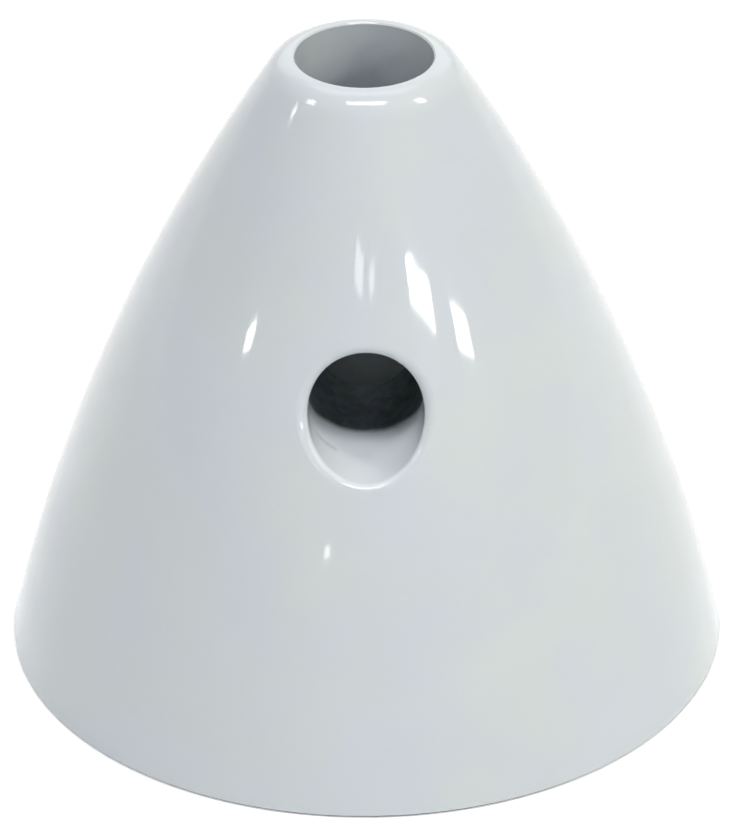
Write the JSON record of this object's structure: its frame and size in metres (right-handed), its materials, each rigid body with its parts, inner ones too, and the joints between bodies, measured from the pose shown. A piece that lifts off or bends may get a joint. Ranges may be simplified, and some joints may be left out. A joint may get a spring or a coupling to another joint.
{
  "type": "propeller spinner",
  "caption": "Ogival propeller cone nut with a nose bore for a lock screw, a cross hole for a tommy bar and a threaded shaft socket under its flat seat.",
  "frame": {"origin": "centre of the flat seat that bears on the propeller hub", "axes": "+Z along the shaft axis, from the seat to the nose; the tommy-bar hole runs along Y"},
  "size_m": [0.1, 0.1, 0.0897],
  "materials": {
    "white_paint": "gloss"
  },
  "bodies": {
    "root": {"spinner_cone": "white_paint"}
  },
  "joints": []
}
